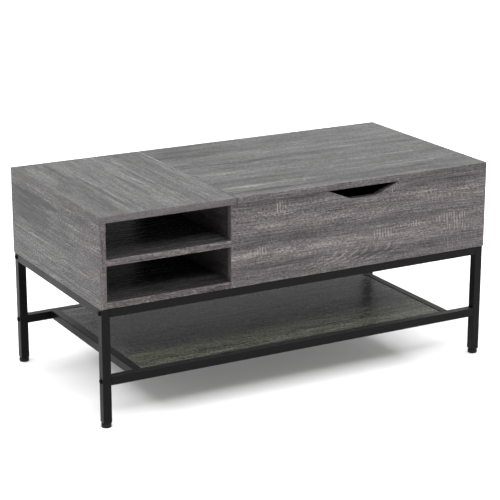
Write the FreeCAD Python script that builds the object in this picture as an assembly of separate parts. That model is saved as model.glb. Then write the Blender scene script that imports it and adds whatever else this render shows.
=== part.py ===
import FreeCAD, Part
import math
import os

# Lift top coffee table, in millimetres.
# +X runs along the length, -Y is the front, +Z is up. The two cubbies are at the -X end
# and open at the front and at the rear. The storage compartment takes up the rest.
# The origin is on the floor, under the middle of the table.

# ---- driving dimensions -------------------------------------------------------------
LENGTH = 1000.0
DEPTH = 494.0
HEIGHT = 477.0
BOARD = 15.0                # thickness of every board
CUBBY_HEIGHT = 80.0         # clear height of each cubby
CUBBY_WIDTH = 300.0         # clear width of each cubby
EDGE_EASE = 0.5             # eased edges of the boards
LID_GAP = 0.4               # air between the lift top and the panels below it
TOP_SEAM = 1.5              # air between the fixed top and the lift top

TUBE = 20.0                 # outside of the square frame tube
TUBE_WALL = 1.2
TUBE_CORNER = 1.6           # outside corner radius of the tube
FRAME_INSET = 1.5           # how far the frame stands in from the box's faces
LOWER_RAIL_BOTTOM = 97.0    # underside of the lower rails
CROSS_RAIL_X = 407.0        # centre of each lower cross rail
SHELF_GAP = 0.7             # air round the lower shelf
SHELF_DROP = 1.0            # the shelf's top lies this far below the rails' tops

FOOT_HEIGHT = 12.0          # floor to the bottom of the leg
FOOT_RADIUS = 11.5
FOOT_PAD = 9.3              # thickness of the foot's pad
FOOT_ROUND = 2.5            # rounded bottom edge of the pad
STEM_RADIUS = 4.0
PLUG_LIP = 2.0              # the plug's round collar under the leg
RUNNING = 0.05              # radial clearance of a running fit

NOTCH_TOP = 189.0           # finger notch in the front panel
NOTCH_BOTTOM = 68.0
NOTCH_DEPTH = 24.7
NOTCH_ROUND = 30.0

ARM_LENGTH = 200.0          # lift linkage, pivot to pivot
ARM_CLOSED = 8.0            # angle of the arms above +Y when the top is down, in degrees
ARM_HALF_WIDTH = 11.0
ARM_THICK = 3.0
PLATE_THICK = 2.0           # bracket plates
REAR_PIVOT = (-90.0, 370.0)         # Y, Z of the rear arm's lower pivot
PIVOT_SPACING = 60.0                # lower pivot to lower pivot, and upper to upper
PIVOT_DIRECTION = 154.0             # direction from the rear pivot to the front one
LEVER_RADIUS = 28.0                 # spring lever on the rear arm
LEVER_DIRECTION = 214.0
SPRING_REACH = 150.0                # lever arc's centre to the spring's fixed end
PIN_RADIUS = 4.0
OPEN_PIVOT_CLEARANCE = 0.4          # radial, at the front arms' upper pivots
CROSS_TUBE_RADIUS = 8.0
CROSS_TUBE_SHARE = 0.45             # place of the cross tube along the rear arm

# ---- places worked out from them ----------------------------------------------------
half_x = LENGTH / 2
half_y = DEPTH / 2
box_height = 3 * BOARD + 2 * CUBBY_HEIGHT
box_bottom = HEIGHT - box_height
floor_top = box_bottom + BOARD                  # top of the bottom boards
under_top = HEIGHT - BOARD                      # underside of both tops
panel_top = under_top - LID_GAP
cubby_left = -half_x + BOARD
cubby_right = cubby_left + CUBBY_WIDTH
store_left = cubby_right + BOARD
store_right = half_x - BOARD
inner_y = half_y - BOARD
leg_x = half_x - FRAME_INSET - TUBE / 2
leg_y = half_y - FRAME_INSET - TUBE / 2
rail_half = leg_x - TUBE / 2
side_half = leg_y - TUBE / 2
top_rail_bottom = box_bottom - TUBE
lower_rail_top = LOWER_RAIL_BOTTOM + TUBE
shelf_top = lower_rail_top - SHELF_DROP
shelf_bottom = shelf_top - BOARD

UP, DOWN = (0, 0, 1), (0, 0, -1)
LEFT, RIGHT = (-1, 0, 0), (1, 0, 0)
FRONT, REAR = (0, -1, 0), (0, 1, 0)

os.makedirs("parts", exist_ok=True)


def vec(x, y, z):
    return FreeCAD.Vector(x, y, z)


def save(name, *shapes):
    """Writes one node: one solid, or a group of separate solids."""
    shape = shapes[0] if len(shapes) == 1 else Part.makeCompound(list(shapes))
    if not shape.isValid():
        raise ValueError(name + " is not valid")
    shape.exportStep("parts/" + name + ".step")


def block(x0, x1, y0, y1, z0, z1):
    return Part.makeBox(x1 - x0, y1 - y0, z1 - z0, vec(x0, y0, z0))


def rod(x, y, z, direction, radius, length):
    return Part.makeCylinder(radius, length, vec(x, y, z), vec(*direction))


def board(x0, x1, y0, y1, z0, z1):
    """A board with slightly eased edges."""
    plain = block(x0, x1, y0, y1, z0, z1)
    return plain.makeFillet(EDGE_EASE, plain.Edges)


def along(edge, axis):
    step = edge.lastVertex().Point - edge.firstVertex().Point
    return abs(abs(step.dot(axis)) - step.Length) < 1e-6


def square_tube(axis, centre_a, centre_b, start, end):
    """A square tube along X, Y or Z. The centres are on the other two axes, in order."""
    lengths = {"x": (end - start, TUBE, TUBE), "y": (TUBE, end - start, TUBE),
               "z": (TUBE, TUBE, end - start)}[axis]
    a, b = centre_a - TUBE / 2, centre_b - TUBE / 2
    corner = {"x": (start, a, b), "y": (a, start, b), "z": (a, b, start)}[axis]
    direction = {"x": vec(1, 0, 0), "y": vec(0, 1, 0), "z": vec(0, 0, 1)}[axis]
    outer = Part.makeBox(*lengths, vec(*corner))
    outer = outer.makeFillet(TUBE_CORNER, [e for e in outer.Edges if along(e, direction)])
    hollow = [length - 2 * TUBE_WALL * (1 - abs(part))
              for length, part in zip(lengths, direction)]
    inset = [c + TUBE_WALL * (1 - abs(part)) for c, part in zip(corner, direction)]
    return outer.cut(Part.makeBox(*hollow, vec(*inset)))


def round_outline(points, radius):
    """A closed wire in the YZ plane through the points, with its corners rounded."""
    count = len(points)
    corners = []
    for i in range(count):
        before, here, after = (vec(0, *points[(i + k) % count]) for k in (-1, 0, 1))
        u = (before - here).normalize()
        w = (after - here).normalize()
        half = math.acos(max(-1.0, min(1.0, u.dot(w)))) / 2
        reach = radius / math.tan(half)
        middle = here + (u + w).normalize() * (radius / math.sin(half) - radius)
        corners.append((here + u * reach, middle, here + w * reach))
    edges = []
    for i, (first, middle, last) in enumerate(corners):
        edges.append(Part.Arc(first, middle, last).toShape())
        edges.append(Part.LineSegment(last, corners[(i + 1) % count][0]).toShape())
    return Part.Wire(edges)


def plate(points, radius, x0, x1):
    low, high = min(x0, x1), max(x0, x1)
    face = Part.Face(round_outline(points, radius))
    face.translate(vec(low, 0, 0))
    return face.extrude(vec(high - low, 0, 0))


def stadium(first, last, radius, x0, x1):
    """A flat bar with round ends, between two points of the YZ plane."""
    low, high = min(x0, x1), max(x0, x1)
    run = vec(0, last[0] - first[0], last[1] - first[1])
    side = vec(0, -run.z, run.y).normalize() * radius
    start, end = vec(low, *first), vec(low, *last)
    tip = vec(0, run.y, run.z).normalize() * radius
    wire = Part.Wire([
        Part.LineSegment(start + side, end + side).toShape(),
        Part.Arc(end + side, end + tip, end - side).toShape(),
        Part.LineSegment(end - side, start - side).toShape(),
        Part.Arc(start - side, start - tip, start + side).toShape()])
    return Part.Face(wire).extrude(vec(high - low, 0, 0))


def turned_pin(x, y, z, side, steps):
    """A turned pin along X from steps of (start, end, radius), measured inwards from x."""
    solid = None
    for start, end, radius in steps:
        piece = rod(x + side * start, y, z, (side, 0, 0), radius, end - start)
        solid = piece if solid is None else solid.fuse(piece)
    return solid.removeSplitter()


def polar(centre, radius, degrees):
    a = math.radians(degrees)
    return (centre[0] + radius * math.cos(a), centre[1] + radius * math.sin(a))


# ---- screws and bolts ---------------------------------------------------------------
def hex_prism(across, height):
    corners = [vec(across / math.sqrt(3) * math.cos(math.radians(60 * k)),
                   across / math.sqrt(3) * math.sin(math.radians(60 * k)), 0)
               for k in range(7)]
    return Part.Face(Part.makePolygon(corners)).extrude(vec(0, 0, height))


def point_along(shape, place, direction):
    """Turns a shape made along +Z to a direction and moves it to its place."""
    turn = FreeCAD.Rotation(vec(0, 0, 1), vec(*direction))
    shape = shape.copy()
    shape.Placement = FreeCAD.Placement(vec(*place), turn)
    return shape


def headed(place, direction, shank_radius, shank, head_radius, head, socket):
    """A screw: the head stands back from its place, the shank runs along direction."""
    cap = Part.makeCylinder(head_radius, head, vec(0, 0, -head))
    rim = [e for e in cap.Edges if len(e.Vertexes) == 1 and e.CenterOfMass.z < -head / 2]
    cap = cap.makeFillet(head * 0.6, rim)
    recess = hex_prism(socket, head * 0.6)
    recess.translate(vec(0, 0, -head))
    solid = cap.fuse(Part.makeCylinder(shank_radius, shank)).removeSplitter().cut(recess)
    return point_along(solid, place, direction)


def drill(shape, places, direction, radius, depth):
    for place in places:
        shape = shape.cut(rod(*place, direction, radius, depth))
    return shape


# ---- steel frame --------------------------------------------------------------------
BOLT_RADIUS = 3.0
BOLT_HEAD_RADIUS = 5.5
BOLT_HEAD = 3.2
BOLT_SOCKET = 4.0
END_NUT = 12.0              # length of the threaded block inside each rail end
rail_levels = (top_rail_bottom + TUBE / 2, LOWER_RAIL_BOTTOM + TUBE / 2)


def leg_name(sx, sy):
    return ("rear" if sy > 0 else "front") + ("_right" if sx > 0 else "_left")


corners_xy = [(sx, sy) for sy in (-1, 1) for sx in (-1, 1)]


def make_legs():
    for sx, sy in corners_xy:
        leg = square_tube("z", sx * leg_x, sy * leg_y, FOOT_HEIGHT, box_bottom)
        outside = sx * (leg_x + TUBE)
        for level in rail_levels:
            hole = rod(outside, sy * leg_y, level, (-sx, 0, 0), BOLT_RADIUS, 2 * TUBE)
            leg = leg.cut(hole)
        save("leg_" + leg_name(sx, sy), leg)


def make_long_rails():
    nuts, bolts = [], []
    inner = TUBE / 2 - TUBE_WALL
    for sy, place in ((-1, "front"), (1, "rear")):
        for level, kind in zip(rail_levels, ("top", "lower")):
            rail = square_tube("x", sy * leg_y, level, -rail_half, rail_half)
            if kind == "top":
                for x in box_screw_x:
                    rail = rail.cut(rod(x, sy * leg_y, top_rail_bottom, UP,
                                        BOX_SCREW_RADIUS, TUBE))
            save(kind + "_rail_" + place, rail)
            for sx in (-1, 1):
                ends = sorted((sx * rail_half, sx * (rail_half - END_NUT)))
                nut = block(ends[0], ends[1], sy * leg_y - inner, sy * leg_y + inner,
                            level - inner, level + inner)
                bolt = headed((sx * (leg_x + TUBE / 2), sy * leg_y, level), (-sx, 0, 0),
                              BOLT_RADIUS, TUBE + END_NUT, BOLT_HEAD_RADIUS, BOLT_HEAD,
                              BOLT_SOCKET)
                nuts.append(nut.cut(rod(sx * leg_x, sy * leg_y, level, (-sx, 0, 0),
                                        BOLT_RADIUS, 2 * TUBE)))
                bolts.append(bolt)
    save("rail_end_nuts", *nuts)
    save("frame_bolts", *bolts)


def make_short_rails():
    for sx, place in ((-1, "left"), (1, "right")):
        save("side_rail_" + place,
             square_tube("y", sx * leg_x, rail_levels[0], -side_half, side_half))
        save("cross_rail_" + place,
             square_tube("y", sx * CROSS_RAIL_X, rail_levels[1], -side_half, side_half))


# ---- feet ---------------------------------------------------------------------------
PLUG_LENGTH = 22.0
COLLAR_RADIUS = 10.2
STEM_LENGTH = 20.0          # stem inside the plug
NECK_RADIUS = 5.5
NECK_GAP = 0.3              # air between the neck and the collar
PAD_TOP_ROUND = 0.8


def round_rim(shape, level, radius):
    """Rounds the circular edges that lie at one height."""
    rim = [e for e in shape.Edges
           if len(e.Vertexes) == 1 and abs(e.CenterOfMass.z - level) < 0.1]
    return shape.makeFillet(radius, rim)


def make_feet():
    plugs = []
    inner = TUBE / 2 - TUBE_WALL
    for sx, sy in corners_xy:
        x, y = sx * leg_x, sy * leg_y
        lip = rod(x, y, FOOT_HEIGHT - PLUG_LIP, UP, COLLAR_RADIUS, PLUG_LIP)
        body = block(x - inner, x + inner, y - inner, y + inner,
                     FOOT_HEIGHT, FOOT_HEIGHT + PLUG_LENGTH)
        plug = lip.fuse(body).removeSplitter()
        plugs.append(plug.cut(rod(x, y, 0, UP, STEM_RADIUS + RUNNING, 3 * TUBE)))
        pad = rod(x, y, 0, UP, FOOT_RADIUS, FOOT_PAD)
        pad = round_rim(round_rim(pad, 0, FOOT_ROUND), FOOT_PAD, PAD_TOP_ROUND)
        neck_top = FOOT_HEIGHT - PLUG_LIP - NECK_GAP
        neck = rod(x, y, FOOT_PAD, UP, NECK_RADIUS, neck_top - FOOT_PAD)
        stem = rod(x, y, FOOT_PAD, UP, STEM_RADIUS, FOOT_HEIGHT + STEM_LENGTH - FOOT_PAD)
        save("foot_" + leg_name(sx, sy), pad.fuse(neck).fuse(stem).removeSplitter())
    save("leg_plugs", *plugs)


# ---- lower shelf --------------------------------------------------------------------
TAB_LENGTH = 26.0
TAB_REACH = 20.0
TAB_SCREW_SHARE = 0.6       # place of the screw along the tab
TAB_THICK = 2.0
TAB_SCREW_RADIUS = 2.0
TAB_SCREW = 12.0
TAB_HEAD_RADIUS = 4.0
TAB_HEAD = 2.4
SCREW_SOCKET = 2.5          # hexagon socket of the small screws
tab_x = (-300.0, 0.0, 300.0)
shelf_half_x = CROSS_RAIL_X - TUBE / 2 - SHELF_GAP
shelf_half_y = side_half - SHELF_GAP


def make_shelf():
    tabs, screws = [], []
    tab_bottom = shelf_bottom - TAB_THICK
    long_places = [(x, sy, "y") for sy in (-1, 1) for x in tab_x]
    short_places = [(0.0, sx, "x") for sx in (-1, 1)]
    shelf = board(-shelf_half_x, shelf_half_x, -shelf_half_y, shelf_half_y,
                  shelf_bottom, shelf_top)
    for along_rail, sign, axis in long_places + short_places:
        wall = side_half if axis == "y" else CROSS_RAIL_X - TUBE / 2
        near, far = sorted((sign * wall, sign * (wall - TAB_REACH)))
        a0, a1 = along_rail - TAB_LENGTH / 2, along_rail + TAB_LENGTH / 2
        spot = sign * (wall - TAB_REACH * TAB_SCREW_SHARE)
        if axis == "y":
            tab = block(a0, a1, near, far, tab_bottom, shelf_bottom)
            place = (along_rail, spot, tab_bottom)
        else:
            tab = block(near, far, a0, a1, tab_bottom, shelf_bottom)
            place = (spot, along_rail, tab_bottom)
        tabs.append(drill(tab, [place], UP, TAB_SCREW_RADIUS, TAB_THICK))
        shelf = drill(shelf, [place], UP, TAB_SCREW_RADIUS, TAB_SCREW)
        screws.append(headed(place, UP, TAB_SCREW_RADIUS, TAB_SCREW,
                             TAB_HEAD_RADIUS, TAB_HEAD, SCREW_SOCKET))
    save("lower_shelf", shelf)
    save("shelf_tabs", *tabs)
    save("shelf_screws", *screws)


# ---- hidden joints between the boards -----------------------------------------------
CAM_RADIUS = 7.5
CAM_DEPTH = 12.0
CAM_SETBACK = 24.0          # board edge to the middle of the cam
CAM_BOLT_RADIUS = 3.5
CAM_BOLT_BITE = 11.0        # how far the bolt goes into the other board
CAM_BOLT_GRIP = 2.0         # how far the bolt's end goes into the cam
CAM_SLOT, CAM_SLOT_DEPTH = 6.0, 3.0
DOWEL_RADIUS = 4.0
DOWEL_BITE = (10.0, 20.0)   # into the face of one board, into the edge of the other

# Each joint: the board with the cam, the board with the bolt, the point where they meet
# on the middle line of the cam's board, the direction across the joint, and the direction
# from the board's middle to the face that the cam is set in.
middle = BOARD / 2
left_mid = -half_x + middle
divider_mid = cubby_right + middle
right_mid = half_x - middle
low_mid = box_bottom + middle
rear_mid = half_y - middle
cam_joints = []
for y_place in (-150.0, 150.0):
    cam_joints += [
        ("left_panel", "fixed_top", (left_mid, y_place, under_top), UP, RIGHT),
        ("divider_panel", "fixed_top", (divider_mid, y_place, under_top), UP, RIGHT),
        ("cubby_bottom", "left_panel", (cubby_left, y_place, low_mid), LEFT, DOWN),
        ("cubby_bottom", "divider_panel", (cubby_right, y_place, low_mid), RIGHT, DOWN),
        ("storage_bottom", "right_panel", (store_right, y_place, low_mid), RIGHT, DOWN)]
for z_place in (box_bottom + 60.0, under_top - 60.0):
    cam_joints += [
        ("rear_panel", "right_panel", (store_right, rear_mid, z_place), RIGHT, FRONT),
        ("divider_panel", "rear_panel", (divider_mid, inner_y, z_place), REAR, RIGHT),
        ("right_panel", "front_panel", (right_mid, -inner_y, z_place), FRONT, LEFT),
        ("divider_panel", "front_panel", (divider_mid, -inner_y, z_place), FRONT, RIGHT)]
# Each dowel: the board whose edge it is in, the board whose face it is in, the point
# where they meet, and the direction from the edge into the face.
dowels = []
for y_place in (-110.0, 110.0):
    dowels += [
        ("cubby_bottom", "left_panel", (cubby_left, y_place, low_mid), LEFT),
        ("storage_bottom", "right_panel", (store_right, y_place, low_mid), RIGHT),
        ("left_panel", "fixed_top", (left_mid, y_place, under_top), UP)]
shelf_mid = floor_top + CUBBY_HEIGHT + middle
for y_place in (-190.0, 190.0):
    dowels += [
        ("cubby_shelf", "left_panel", (cubby_left, y_place, shelf_mid), LEFT),
        ("cubby_shelf", "divider_panel", (cubby_right, y_place, shelf_mid), RIGHT)]
for x_place in (-20.0, 330.0):
    dowels += [
        ("storage_bottom", "front_panel", (x_place, -inner_y, low_mid), FRONT),
        ("storage_bottom", "rear_panel", (x_place, inner_y, low_mid), REAR)]


def shifted(place, direction, distance):
    return tuple(p + d * distance for p, d in zip(place, direction))


def cut_hidden_joints(boards):
    cams, bolts, pegs = [], [], []
    for cam_board, bolt_board, place, across, face in cam_joints:
        centre = shifted(place, across, -CAM_SETBACK)
        mouth = shifted(centre, face, middle)
        inwards = tuple(-f for f in face)
        cam = rod(*mouth, inwards, CAM_RADIUS, CAM_DEPTH)
        reach = CAM_SETBACK - CAM_RADIUS + CAM_BOLT_GRIP
        start = shifted(place, across, -reach)
        bolt = rod(*start, across, CAM_BOLT_RADIUS, reach + CAM_BOLT_BITE)
        boards[cam_board] = boards[cam_board].cut(cam).cut(bolt)
        boards[bolt_board] = boards[bolt_board].cut(bolt)
        slot = hex_prism(CAM_SLOT, CAM_SLOT_DEPTH)
        cams.append(cam.cut(bolt).cut(point_along(slot, mouth, inwards)))
        bolts.append(bolt)
    for edge_board, face_board, place, across in dowels:
        start = shifted(place, across, -DOWEL_BITE[1])
        peg = rod(*start, across, DOWEL_RADIUS, sum(DOWEL_BITE))
        boards[edge_board] = boards[edge_board].cut(peg)
        boards[face_board] = boards[face_board].cut(peg)
        pegs.append(peg)
    save("cam_locks", *cams)
    save("cam_bolts", *bolts)
    save("wood_dowels", *pegs)


# ---- box ----------------------------------------------------------------------------
BOX_SCREW_RADIUS = 2.5
BOX_SCREW = TUBE + 11.0
BOX_SCREW_HEAD_RADIUS = 4.5
BOX_SCREW_HEAD = 2.8
BOX_SCREW_SOCKET = 3.0
box_screw_x = (-440.0, -230.0, -60.0, 420.0)
BUMPER_RADIUS = 4.0
BUMPER_PROUD = 0.1
BUMPER_BURIED = 1.5
bumper_spots = [(-100.0, -1), (430.0, -1), (-100.0, 1), (430.0, 1)]


def notched_front():
    """The front panel with its trapezoid finger notch, rounded at the lower corners."""
    mid_x = (cubby_right + half_x) / 2
    panel = board(cubby_right, half_x, -half_y, -inner_y, box_bottom, panel_top)
    low = under_top - NOTCH_DEPTH - LID_GAP
    slope = (NOTCH_TOP - NOTCH_BOTTOM) / 2 / NOTCH_DEPTH
    over = 20.0
    top = panel_top + over
    reach = NOTCH_BOTTOM / 2 + slope * (top - low)
    points = [vec(mid_x - reach, 0, top), vec(mid_x - NOTCH_BOTTOM / 2, 0, low),
              vec(mid_x + NOTCH_BOTTOM / 2, 0, low), vec(mid_x + reach, 0, top)]
    face = Part.Face(Part.makePolygon(points + points[:1]))
    cutter = face.extrude(vec(0, 3 * BOARD, 0))
    cutter.translate(vec(0, -half_y - BOARD, 0))
    low_edges = [e for e in cutter.Edges
                 if along(e, vec(0, 1, 0)) and abs(e.CenterOfMass.z - low) < 0.01]
    return panel.cut(cutter.makeFillet(NOTCH_ROUND, low_edges))


def make_box(extra_holes):
    boards = {
        "left_panel": board(-half_x, cubby_left, -half_y, half_y, box_bottom, under_top),
        "divider_panel": board(cubby_right, store_left, -inner_y, inner_y,
                               box_bottom, under_top),
        "right_panel": board(store_right, half_x, -inner_y, half_y, box_bottom, panel_top),
        "front_panel": notched_front(),
        "rear_panel": board(cubby_right, store_right, inner_y, half_y,
                            box_bottom, panel_top),
        "cubby_bottom": board(cubby_left, cubby_right, -half_y, half_y,
                              box_bottom, floor_top),
        "storage_bottom": board(store_left, store_right, -inner_y, inner_y,
                                box_bottom, floor_top),
        "cubby_shelf": board(cubby_left, cubby_right, -half_y, half_y,
                             floor_top + CUBBY_HEIGHT, floor_top + CUBBY_HEIGHT + BOARD),
        "fixed_top": board(-half_x, store_left - TOP_SEAM / 2, -half_y, half_y,
                           under_top, HEIGHT),
    }
    cut_hidden_joints(boards)
    screws = []
    for x in box_screw_x:
        under_cubby = x < cubby_right
        for sy, panel in ((-1, "front_panel"), (1, "rear_panel")):
            name = "cubby_bottom" if under_cubby else panel
            place = (x, sy * leg_y, top_rail_bottom)
            boards[name] = drill(boards[name], [place], UP, BOX_SCREW_RADIUS, BOX_SCREW)
            screws.append(headed(place, UP, BOX_SCREW_RADIUS, BOX_SCREW,
                                 BOX_SCREW_HEAD_RADIUS, BOX_SCREW_HEAD, BOX_SCREW_SOCKET))
    save("box_screws", *screws)
    bumpers = []
    for x, sy in bumper_spots:
        buried = panel_top - BUMPER_BURIED
        spot = (x, sy * (half_y - middle), buried)
        bumpers.append(rod(*spot, UP, BUMPER_RADIUS, BUMPER_BURIED + BUMPER_PROUD))
        name = "front_panel" if sy < 0 else "rear_panel"
        boards[name] = boards[name].cut(rod(*spot, UP, BUMPER_RADIUS, 2 * BUMPER_BURIED))
    save("lid_bumpers", *bumpers)
    for name, holes in extra_holes.items():
        for hole in holes:
            boards[name] = boards[name].cut(hole)
    for name, shape in boards.items():
        save(name, shape)


# ---- lift linkage -------------------------------------------------------------------
# Distances inwards from the wall that each side of the linkage is screwed to.
ARM_START = 3.0
arm_end = ARM_START + ARM_THICK
HANGER_START = 7.0                       # vertical leg of the bracket under the lift top
hanger_end = HANGER_START + PLATE_THICK
FLANGE_REACH = 30.0
SPRING_OFFSET = 15.0
SPRING_RADIUS = 6.5
SPRING_WIRE = 1.6
EYE_RADIUS = 5.0
STUD_RADIUS = 2.5
GAP = 0.3
HANGER_SPAN = (-60.0, 170.0)             # flange under the top, along Y
SCREW_RADIUS = 2.0
SCREW_HEAD_RADIUS = 4.0
SCREW_HEAD = 2.2
SCREW_BITE = 10.0           # length of each screw inside the board
WASHER_RADIUS = 7.0         # collars and end caps of the pivot pins
CAP = 1.8                   # thickness of the pins' end caps
HUB_RADIUS = 6.5
PLATE_CORNER = 8.0          # rounded corners of the base brackets
HANGER_CORNER = 4.0         # and of the top brackets' hangers
HANGER_MARGIN = 14.0        # hanger's outline past its pivots
HANGER_REAR = 24.0          # and at its wide top, past the rear pivot
HANGER_FRONT = 32.0         # and past the front pivot
HANGER_NOSE = 8.0           # below the front pivot
PIN_HEAD = 1.0              # thin head of the upper pins, against the arm
STUD_REACH = SPRING_OFFSET + 3.0    # stud length, up to its end cap
STUD_CAP = 1.5
LEVER_HALF_WIDTH = 7.5
front_pivot = polar(REAR_PIVOT, PIVOT_SPACING, PIVOT_DIRECTION)
rear_upper = polar(REAR_PIVOT, ARM_LENGTH, ARM_CLOSED)
front_upper = polar(front_pivot, ARM_LENGTH, ARM_CLOSED)
lever_tip = polar(REAR_PIVOT, LEVER_RADIUS, LEVER_DIRECTION)
spring_fixed = (REAR_PIVOT[0] + SPRING_REACH, lever_tip[1])
cross_tube_place = polar(REAR_PIVOT, ARM_LENGTH * CROSS_TUBE_SHARE, ARM_CLOSED)
base_outline = [(-176.0, 334.0), (80.0, 334.0), (80.0, 364.0), (-58.0, 376.0),
                (-122.0, 414.0), (-176.0, 414.0)]
base_screws = [(-165.0, 342.0), (-45.0, 342.0), (15.0, 342.0), (70.0, 342.0),
               (-167.0, 405.0)]
hanger_screw_y = (-45.0, 20.0, 95.0, 155.0)
sides = {"left": (store_left, 1), "right": (store_right, -1)}


def pin_hole(shape, place, radius):
    return shape.cut(rod(-half_x, place[0], place[1], RIGHT, radius, LENGTH))


def stud_steps(start):
    """A spring stud: its shank from start, then its end cap."""
    return [(start, STUD_REACH, STUD_RADIUS),
            (STUD_REACH, STUD_REACH + STUD_CAP, STUD_RADIUS + STUD_CAP)]


def make_base_bracket(wall, side, name):
    base = plate(base_outline, PLATE_CORNER, wall, wall + side * PLATE_THICK)
    screws, holes = [], []
    for y, z in base_screws:
        base = pin_hole(base, (y, z), SCREW_RADIUS)
        screws.append(headed((wall + side * PLATE_THICK, y, z), (-side, 0, 0), SCREW_RADIUS,
                             PLATE_THICK + SCREW_BITE, SCREW_HEAD_RADIUS, SCREW_HEAD,
                             SCREW_SOCKET))
        holes.append(rod(wall, y, z, (-side, 0, 0), SCREW_RADIUS, SCREW_BITE))
    save("base_bracket_" + name, base)
    steps = [(PLATE_THICK, ARM_START - GAP, WASHER_RADIUS),
             (PLATE_THICK, arm_end + GAP, PIN_RADIUS),
             (arm_end + GAP, arm_end + GAP + CAP, WASHER_RADIUS)]
    pins = [turned_pin(wall, *REAR_PIVOT, side, steps),
            turned_pin(wall, *front_pivot, side, steps)]
    anchor = turned_pin(wall, *spring_fixed, side, stud_steps(PLATE_THICK))
    return screws, holes, pins, anchor


def make_arms(wall, side, name):
    x0, x1 = wall + side * ARM_START, wall + side * arm_end
    rear = stadium(REAR_PIVOT, rear_upper, ARM_HALF_WIDTH, x0, x1)
    lever = stadium(REAR_PIVOT, lever_tip, LEVER_HALF_WIDTH, x0, x1)
    rear = pin_hole(rear.fuse(lever).removeSplitter(), REAR_PIVOT, PIN_RADIUS + RUNNING)
    rear = pin_hole(pin_hole(rear, rear_upper, PIN_RADIUS), lever_tip, STUD_RADIUS)
    front = stadium(front_pivot, front_upper, ARM_HALF_WIDTH, x0, x1)
    front = pin_hole(front, front_pivot, PIN_RADIUS + RUNNING)
    front = pin_hole(front, front_upper, PIN_RADIUS)
    save("rear_arm_" + name, rear)
    save("front_arm_" + name, front)
    steps = [(ARM_START - PIN_HEAD, ARM_START, HUB_RADIUS), (ARM_START, arm_end, PIN_RADIUS),
             (arm_end, HANGER_START - GAP, HUB_RADIUS), (arm_end, hanger_end + GAP, PIN_RADIUS),
             (hanger_end + GAP, hanger_end + GAP + CAP, WASHER_RADIUS)]
    save("front_top_pin_" + name, turned_pin(wall, *front_upper, side, steps))
    rear_pin = turned_pin(wall, *rear_upper, side, steps)
    stud = turned_pin(wall, *lever_tip, side, stud_steps(ARM_START))
    return rear_pin, stud


def make_top_bracket(wall, side, name):
    x0, x1 = wall + side * HANGER_START, wall + side * hanger_end
    outline = [(rear_upper[0] + HANGER_MARGIN, rear_upper[1] - HANGER_MARGIN),
               (rear_upper[0] + HANGER_REAR, under_top),
               (front_upper[0] - HANGER_FRONT, under_top),
               (front_upper[0] - HANGER_MARGIN, front_upper[1] - HANGER_NOSE),
               (rear_upper[0] - HANGER_MARGIN, rear_upper[1] - HANGER_MARGIN)]
    hanger = plate(outline, HANGER_CORNER, x0, x1)
    flange = block(*sorted((x0, x0 + side * FLANGE_REACH)), *HANGER_SPAN,
                   under_top - PLATE_THICK, under_top)
    bracket = hanger.common(block(-half_x, half_x, *HANGER_SPAN, 0, under_top))
    bracket = bracket.fuse(flange).removeSplitter()
    bracket = pin_hole(bracket, rear_upper, PIN_RADIUS + RUNNING)
    bracket = pin_hole(bracket, front_upper, PIN_RADIUS + OPEN_PIVOT_CLEARANCE)
    x_screw = wall + side * (hanger_end + FLANGE_REACH / 2)
    screws, holes = [], []
    for y in hanger_screw_y:
        place = (x_screw, y, under_top - PLATE_THICK)
        bracket = drill(bracket, [place], UP, SCREW_RADIUS, PLATE_THICK)
        screws.append(headed(place, UP, SCREW_RADIUS, PLATE_THICK + SCREW_BITE,
                             SCREW_HEAD_RADIUS, SCREW_HEAD, SCREW_SOCKET))
        holes.append(rod(x_screw, y, under_top, UP, SCREW_RADIUS, SCREW_BITE))
    save("top_bracket_" + name, bracket)
    return screws, holes


def make_spring(wall, side, name):
    """Stretched extension spring: its coils as a sleeve, with an eye on each stud."""
    x = wall + side * SPRING_OFFSET
    wire = SPRING_WIRE / 2
    slack = EYE_RADIUS - wire - STUD_RADIUS - GAP
    z = lever_tip[1]
    first, last = lever_tip[0] + slack, spring_fixed[0] - slack
    coil_start, coil_end = first + EYE_RADIUS, last - EYE_RADIUS
    length = coil_end - coil_start
    coils = rod(x, coil_start, z, REAR, SPRING_RADIUS, length).cut(
        rod(x, coil_start + SPRING_WIRE, z, REAR, SPRING_RADIUS - SPRING_WIRE,
            length - 2 * SPRING_WIRE))
    for y in (first, last):
        coils = coils.fuse(Part.makeTorus(EYE_RADIUS, wire, vec(x, y, z), vec(1, 0, 0)))
    save("spring_" + name, coils.removeSplitter())


def make_linkage():
    base_hardware, wall_holes, pins, anchors = [], {}, [], []
    top_pins, studs, top_screws, top_holes = [], [], [], []
    for name, (wall, side) in sides.items():
        screws, holes, base_pins, anchor = make_base_bracket(wall, side, name)
        wall_holes["divider_panel" if side > 0 else "right_panel"] = holes
        base_hardware += screws
        pins += base_pins
        anchors.append(anchor)
        rear_pin, stud = make_arms(wall, side, name)
        top_pins.append(rear_pin)
        studs.append(stud)
        screws, holes = make_top_bracket(wall, side, name)
        top_screws += screws
        top_holes += holes
        make_spring(wall, side, name)
    save("base_bracket_screws", *base_hardware)
    save("base_pivot_pins", *pins)
    save("spring_anchor_studs", *anchors)
    save("rear_top_pins", *top_pins)
    save("lever_studs", *studs)
    save("top_bracket_screws", *top_screws)
    ends = [wall + side * arm_end for wall, side in sides.values()]
    tube = rod(min(ends), *cross_tube_place, RIGHT, CROSS_TUBE_RADIUS, max(ends) - min(ends))
    bore = rod(min(ends), *cross_tube_place, RIGHT, CROSS_TUBE_RADIUS - TUBE_WALL,
               max(ends) - min(ends))
    save("cross_tube", tube.cut(bore))
    lift_top = board(store_left + TOP_SEAM / 2, half_x, -half_y, half_y, under_top, HEIGHT)
    for hole in top_holes:
        lift_top = lift_top.cut(hole)
    save("lift_top", lift_top)
    return wall_holes


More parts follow.
